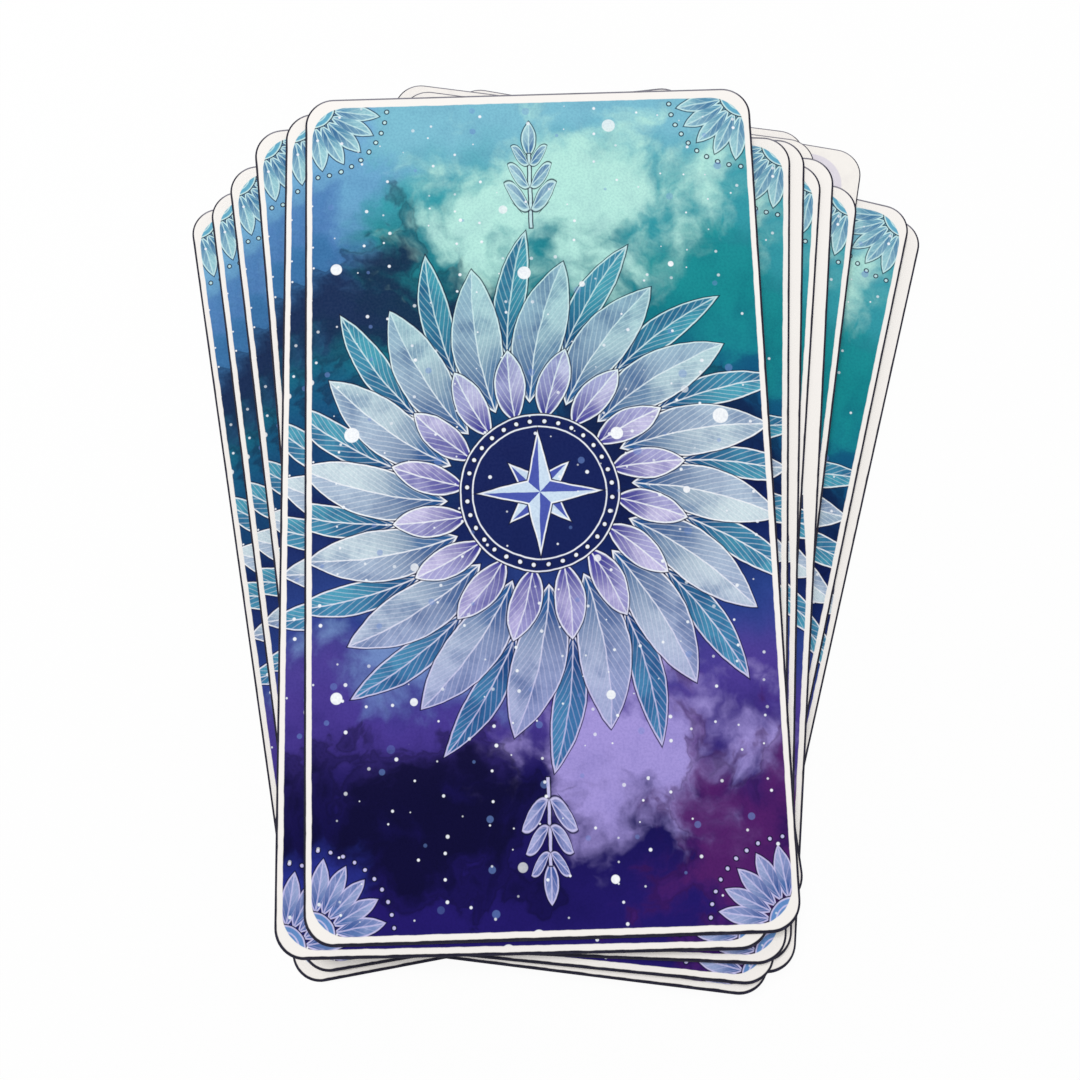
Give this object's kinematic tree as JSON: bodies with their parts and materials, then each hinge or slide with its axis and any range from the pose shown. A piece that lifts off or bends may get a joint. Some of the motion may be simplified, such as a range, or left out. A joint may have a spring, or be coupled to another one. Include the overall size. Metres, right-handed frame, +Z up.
{
  "type": "tarot card deck",
  "caption": "Fanned deck of tall rounded-corner picture cards lying on a table, each card turning about the fan's pivot.",
  "frame": {"origin": "the point that the fan opens about, on the underside of the lowest card, 10 mm from its lower edge", "axes": "+Y along the lowest card towards the open end of the fan, +Z up through the stack, +X to the right"},
  "size_m": [0.1171, 0.1377, 0.0131],
  "materials": {
    "printed_card": "satin",
    "plain_card": "satin"
  },
  "bodies": {
    "base_card": {"base_card": "printed_card"},
    "top_card": {"top_card": "printed_card"},
    "middle_card_1": {"middle_card_1": "printed_card"},
    "middle_card_2": {"middle_card_2": "printed_card"},
    "middle_card_3": {"middle_card_3": "printed_card"},
    "middle_card_4": {"middle_card_4": "printed_card"},
    "middle_card_5": {"middle_card_5": "printed_card"},
    "left_card_1": {"left_card_1": "printed_card"},
    "left_card_2": {"left_card_2": "printed_card"},
    "left_card_3": {"left_card_3": "printed_card"},
    "left_card_4": {"left_card_4": "printed_card"},
    "left_card_5": {"left_card_5": "printed_card"},
    "right_card_1": {"right_card_1": "printed_card"},
    "right_card_2": {"right_card_2": "printed_card"},
    "right_card_3": {"right_card_3": "printed_card"},
    "right_card_4": {"right_card_4": "printed_card"},
    "right_card_5": {"right_card_5": "printed_card"},
    "right_card_6": {"right_card_6": "printed_card"},
    "right_card_7": {"right_card_7": "printed_card"},
    "reversed_card_1": {"reversed_card_1": "plain_card"},
    "reversed_card_2": {"reversed_card_2": "plain_card"},
    "reversed_card_3": {"reversed_card_3": "plain_card"}
  },
  "joints": [
    {"name": "top_card_draw", "type": "slide", "parent": "base_card", "child": "top_card", "axis": [-0.0305, 0.9995, 0], "range_m": [0, 0.13]},
    {"name": "middle_card_1_turn", "type": "hinge", "parent": "base_card", "child": "middle_card_1", "pos_m": [0, 0, 0], "axis": [0, 0, 1], "range_deg": [-1.75, 6.25]},
    {"name": "middle_card_2_turn", "type": "hinge", "parent": "base_card", "child": "middle_card_2", "pos_m": [0, 0, 0], "axis": [0, 0, 1], "range_deg": [-1.5, 3.5]},
    {"name": "middle_card_3_turn", "type": "hinge", "parent": "base_card", "child": "middle_card_3", "pos_m": [0, 0, 0], "axis": [0, 0, 1], "range_deg": [-0.75, 2.25]},
    {"name": "middle_card_4_turn", "type": "hinge", "parent": "base_card", "child": "middle_card_4", "pos_m": [0, 0, 0], "axis": [0, 0, -1], "range_deg": [-0.5, 2.5]},
    {"name": "middle_card_5_turn", "type": "hinge", "parent": "base_card", "child": "middle_card_5", "pos_m": [0, 0, 0], "axis": [0, 0, -1], "range_deg": [-6.75, 22.25]},
    {"name": "left_card_1_turn", "type": "hinge", "parent": "base_card", "child": "left_card_1", "pos_m": [0, 0, 0], "axis": [0, 0, 1], "range_deg": [-1.25, 8.75]},
    {"name": "left_card_2_turn", "type": "hinge", "parent": "base_card", "child": "left_card_2", "pos_m": [0, 0, 0], "axis": [0, 0, 1], "range_deg": [-6.75, 13.25]},
    {"name": "left_card_3_turn", "type": "hinge", "parent": "base_card", "child": "left_card_3", "pos_m": [0, 0, 0], "axis": [0, 0, 1], "range_deg": [-8.75, 18.25]},
    {"name": "left_card_4_turn", "type": "hinge", "parent": "base_card", "child": "left_card_4", "pos_m": [0, 0, 0], "axis": [0, 0, 1], "range_deg": [-9.25, 24.75]},
    {"name": "left_card_5_turn", "type": "hinge", "parent": "base_card", "child": "left_card_5", "pos_m": [0, 0, 0], "axis": [0, 0, 1], "range_deg": [-10.25, 30.75]},
    {"name": "right_card_1_turn", "type": "hinge", "parent": "base_card", "child": "right_card_1", "pos_m": [0, 0, 0], "axis": [0, 0, -1], "range_deg": [-2.25, 5.75]},
    {"name": "right_card_2_turn", "type": "hinge", "parent": "base_card", "child": "right_card_2", "pos_m": [0, 0, 0], "axis": [0, 0, -1], "range_deg": [-3, 9]},
    {"name": "right_card_3_turn", "type": "hinge", "parent": "base_card", "child": "right_card_3", "pos_m": [0, 0, 0], "axis": [0, 0, -1], "range_deg": [-5.5, 10.5]},
    {"name": "right_card_4_turn", "type": "hinge", "parent": "base_card", "child": "right_card_4", "pos_m": [0, 0, 0], "axis": [0, 0, -1], "range_deg": [-5, 15]},
    {"name": "right_card_5_turn", "type": "hinge", "parent": "base_card", "child": "right_card_5", "pos_m": [0, 0, 0], "axis": [0, 0, -1], "range_deg": [-9, 16]},
    {"name": "right_card_6_turn", "type": "hinge", "parent": "base_card", "child": "right_card_6", "pos_m": [0, 0, 0], "axis": [0, 0, -1], "range_deg": [-14, 31]},
    {"name": "right_card_7_turn", "type": "hinge", "parent": "base_card", "child": "right_card_7", "pos_m": [0, 0, 0], "axis": [0, 0, -1], "range_deg": [-14.75, 35.25]},
    {"name": "reversed_card_1_turn", "type": "hinge", "parent": "base_card", "child": "reversed_card_1", "pos_m": [0, 0, 0], "axis": [0, 0, -1], "range_deg": [-8, 25]},
    {"name": "reversed_card_2_turn", "type": "hinge", "parent": "base_card", "child": "reversed_card_2", "pos_m": [0, 0, 0], "axis": [0, 0, -1], "range_deg": [-7.75, 29.25]},
    {"name": "reversed_card_3_turn", "type": "hinge", "parent": "base_card", "child": "reversed_card_3", "pos_m": [0, 0, 0], "axis": [0, 0, -1], "range_deg": [-10.25, 30.75]}
  ]
}
